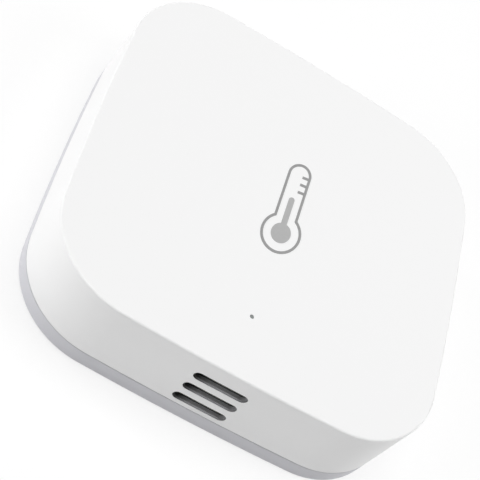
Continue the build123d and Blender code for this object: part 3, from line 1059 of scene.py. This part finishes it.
# The status light is a chip of clear resin over a bright yellow phosphor dot.
resin, tree, shader = start_material("light_resin", IOR=1.53, Roughness=0.2)
shader.inputs["Subsurface Weight"].default_value = 0.3
shader.inputs["Subsurface Scale"].default_value = 0.3 * MM
place = add_node(tree, "ShaderNodeTexCoord").outputs["Object"]
low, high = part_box("status_light")
lens = ((low.x + high.x) / 2, (low.y + high.y) / 2, high.z)
off = add_node(tree, "ShaderNodeVectorMath", {"operation": "DISTANCE", 1: lens}, {0: place})
dot = add_node(
    tree,
    "ShaderNodeMapRange",
    {"From Min": 0.40 * MM, "From Max": 0.30 * MM},
    {"Value": off.outputs["Value"]},
)
tone = add_node(
    tree,
    "ShaderNodeMix",
    {"data_type": "RGBA", 6: linear("#E9E7DC"), 7: linear("#D9C96A")},
    {0: dot.outputs[0]},
)
tree.links.new(tone.outputs[2], shader.inputs["Base Color"])
dress(resin, "status_light")


# Nickel-plated sheet
# The contacts, the switch's frame and the lids of the pressure sensor and the crystal
# are stamped from rolled sheet and nickel-plated. Rolling leaves fine straight lines
# in the warm grey, really 0.02 mm apart and drawn 0.1 mm apart.
nickel, tree, shader = start_material("rolled_nickel_steel", Metallic=1.0)
place = add_node(tree, "ShaderNodeTexCoord").outputs["Object"]
drawn_out = add_node(
    tree,
    "ShaderNodeMapping",
    {"Scale": (1 / (4.0 * MM), 1 / (0.1 * MM), 1 / (0.1 * MM))},
    {"Vector": place},
)
lines = add_node(
    tree, "ShaderNodeTexNoise", {"Scale": 1.0, "Detail": 2.0}, {"Vector": drawn_out.outputs[0]}
)
tone = add_node(
    tree,
    "ShaderNodeMix",
    {"data_type": "RGBA", 6: linear("#CEC9BF"), 7: linear("#BBB6AB")},
    {0: lines.outputs[0]},
)
tree.links.new(tone.outputs[2], shader.inputs["Base Color"])
gloss = add_node(
    tree,
    "ShaderNodeMapRange",
    {"To Min": 0.22, "To Max": 0.36},
    {"Value": lines.outputs[0]},
)
tree.links.new(gloss.outputs[0], shader.inputs["Roughness"])
rounded = add_node(tree, "ShaderNodeBevel", {"samples": 4, "Radius": 0.05 * MM})
bump = add_node(
    tree,
    "ShaderNodeBump",
    {"Distance": 0.0015 * MM},
    {"Height": lines.outputs[0], "Normal": rounded.outputs[0]},
)
tree.links.new(bump.outputs[0], shader.inputs["Normal"])
dress(
    nickel,
    "pressure_sensor",
    "clock_crystal",
    "positive_contact",
    "negative_contact",
    "switch_frame",
)


# Cell holder and switch base
# The ring that takes the cell, and the base and plunger of the switch, are nylon
# with short glass fibres. The fibres lie near the skin and make it streaky and
# a little rough, really 0.01 mm thick and drawn at 0.1 mm.
# The second colour is a painted highlight along the edges.
black_nylon = moulded("glass_filled_nylon", "#1E1E1F", "#2E2E2F", 0.48, 0.10, 0.004, 0.08)
dress(black_nylon, "cell_holder", "switch_body", "switch_plunger")

# Solder holds the switch's frame at its four corners and the plus contact by its
# foot: each joint is a low fillet that has run out on the pad.
corner_joint = (0.28 * MM, 0.80 * MM, 0.28 * MM)
foot_joint = (0.30 * MM, 0.90 * MM, 0.18 * MM)
corner_in, foot_pitch = 0.6 * MM, 1.3 * MM
under_solder = bmesh.new()
low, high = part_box("switch_frame")
out = corner_joint[0] / 2 - WETTED
for x in (low.x - out, high.x + out):
    for y in (low.y + corner_in, high.y - corner_in):
        solder_block(under_solder, (x, y, board_low - corner_joint[2] / 2), corner_joint)
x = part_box("positive_contact")[0].x - foot_joint[0] / 2 + WETTED
for y in (-foot_pitch, 0.0, foot_pitch):
    solder_block(under_solder, (x, y, board_low - foot_joint[2] / 2), foot_joint)
new_piece("under_solder", under_solder, tin, "housing")


# Stage
# A white table under a dim sky. A broad soft box hangs overhead, two small ones low on
# the left and one on the right, so the left wall is the brightest. To the camera the
# table is bleached: near the sensor only a faint shadow is left, further out none.
floor_paint, tree, shader = start_material("white_table", Roughness=0.9)
place = add_node(tree, "ShaderNodeTexCoord").outputs["Object"]
haze = add_node(tree, "ShaderNodeTexNoise", {"Scale": 1 / (80 * MM)}, {"Vector": place})
tone = add_node(
    tree,
    "ShaderNodeMix",
    {"data_type": "RGBA", 6: linear("#FDFDFD"), 7: linear("#FBFBFB")},
    {0: haze.outputs[0]},
)
tree.links.new(tone.outputs[2], shader.inputs["Base Color"])


def background_rays(tree):
    """One for the rays that show the background: camera, glossy and transmission."""
    ray = add_node(tree, "ShaderNodeLightPath")
    seen = add_node(
        tree,
        "ShaderNodeMath",
        {"operation": "MAXIMUM"},
        {0: ray.outputs["Is Camera Ray"], 1: ray.outputs["Is Glossy Ray"]},
    )
    shown = add_node(
        tree,
        "ShaderNodeMath",
        {"operation": "MAXIMUM"},
        {0: seen.outputs[0], 1: ray.outputs["Is Transmission Ray"]},
    )
    return shown.outputs[0]


far = add_node(tree, "ShaderNodeVectorMath", {"operation": "LENGTH"}, {0: place})
paler = add_node(
    tree,
    "ShaderNodeMapRange",
    {"From Min": 0.06, "From Max": 0.30, "To Min": 0.8, "To Max": 1.0},
    {"Value": far.outputs["Value"]},
)
bleach = add_node(
    tree,
    "ShaderNodeMath",
    {"operation": "MULTIPLY"},
    {0: background_rays(tree), 1: paler.outputs[0]},
)
white = add_node(tree, "ShaderNodeEmission", {"Color": (1.0, 1.0, 1.0, 1.0)})
seen = add_node(
    tree,
    "ShaderNodeMixShader",
    {},
    {0: bleach.outputs[0], 1: shader.outputs[0], 2: white.outputs[0]},
)
tree.links.new(seen.outputs[0], tree.nodes["Material Output"].inputs["Surface"])
table_top = bmesh.new()
bmesh.ops.create_grid(table_top, x_segments=1, y_segments=1, size=1.5)
mesh = bpy.data.meshes.new("table_top")
table_top.to_mesh(mesh)
table_top.free()
mesh.materials.append(floor_paint)
table = bpy.data.objects.new("table_top", mesh)
bpy.context.scene.collection.objects.link(table)

world = bpy.data.worlds.new("white_sky")
bpy.context.scene.world = world
world.use_nodes = True
tree = world.node_tree
sky = tree.nodes["Background"]
sky.inputs["Color"].default_value = (1.0, 1.0, 1.0, 1.0)
strength = add_node(
    tree,
    "ShaderNodeMapRange",
    {"To Min": 0.04, "To Max": 1.0},
    {"Value": background_rays(tree)},
)
tree.links.new(strength.outputs[0], sky.inputs["Strength"])


def soft_box(name, place, target, size, energy):
    """A square area lamp aimed at a point, and kept out of reflections so that no pale
    face clips to white. Places are in metres."""
    data = bpy.data.lights.new(name, "AREA")
    data.shape = "SQUARE"
    data.size = size
    data.energy = energy
    lamp = bpy.data.objects.new(name, data)
    bpy.context.scene.collection.objects.link(lamp)
    lamp.location = place
    lamp.visible_glossy = False
    lamp.rotation_mode = "QUATERNION"
    lamp.rotation_quaternion = (Vector(target) - Vector(place)).to_track_quat("-Z", "Y")


middle = (0.0, 0.0, 0.005)
soft_box("front_left_box", (-0.368, -0.171, 0.114), middle, 0.12, 0.62)
soft_box("back_left_box", (-0.375, 0.137, 0.135), middle, 0.12, 0.44)
soft_box("top_box", (0.0, 0.037, 0.423), middle, 0.30, 1.21)
soft_box("right_box", (0.322, 0.0, 0.275), middle, 0.20, 0.67)


# Camera
# The photograph is taken from high over the front left corner, with the camera
# turned about its own axis. The place and the three axes come from a fit to the
# photograph's outlines.
lens = bpy.data.cameras.new("camera")
lens.sensor_width = 36.0
lens.lens = 105.191
lens.clip_start = 0.005
lens.clip_end = 10.0
camera = bpy.data.objects.new("camera", lens)
bpy.context.scene.collection.objects.link(camera)
right = (0.844192, 0.228515, 0.484894)
up = (-0.476176, 0.735115, 0.482563)
back = (-0.246177, -0.638270, 0.729391)
camera.matrix_world = (
    Matrix.Translation((-0.0314015, -0.0794587, 0.0934369))
    @ Matrix((right, up, back)).transposed().to_4x4()
)
bpy.context.scene.camera = camera

bpy.context.scene.view_settings.view_transform = "Standard"
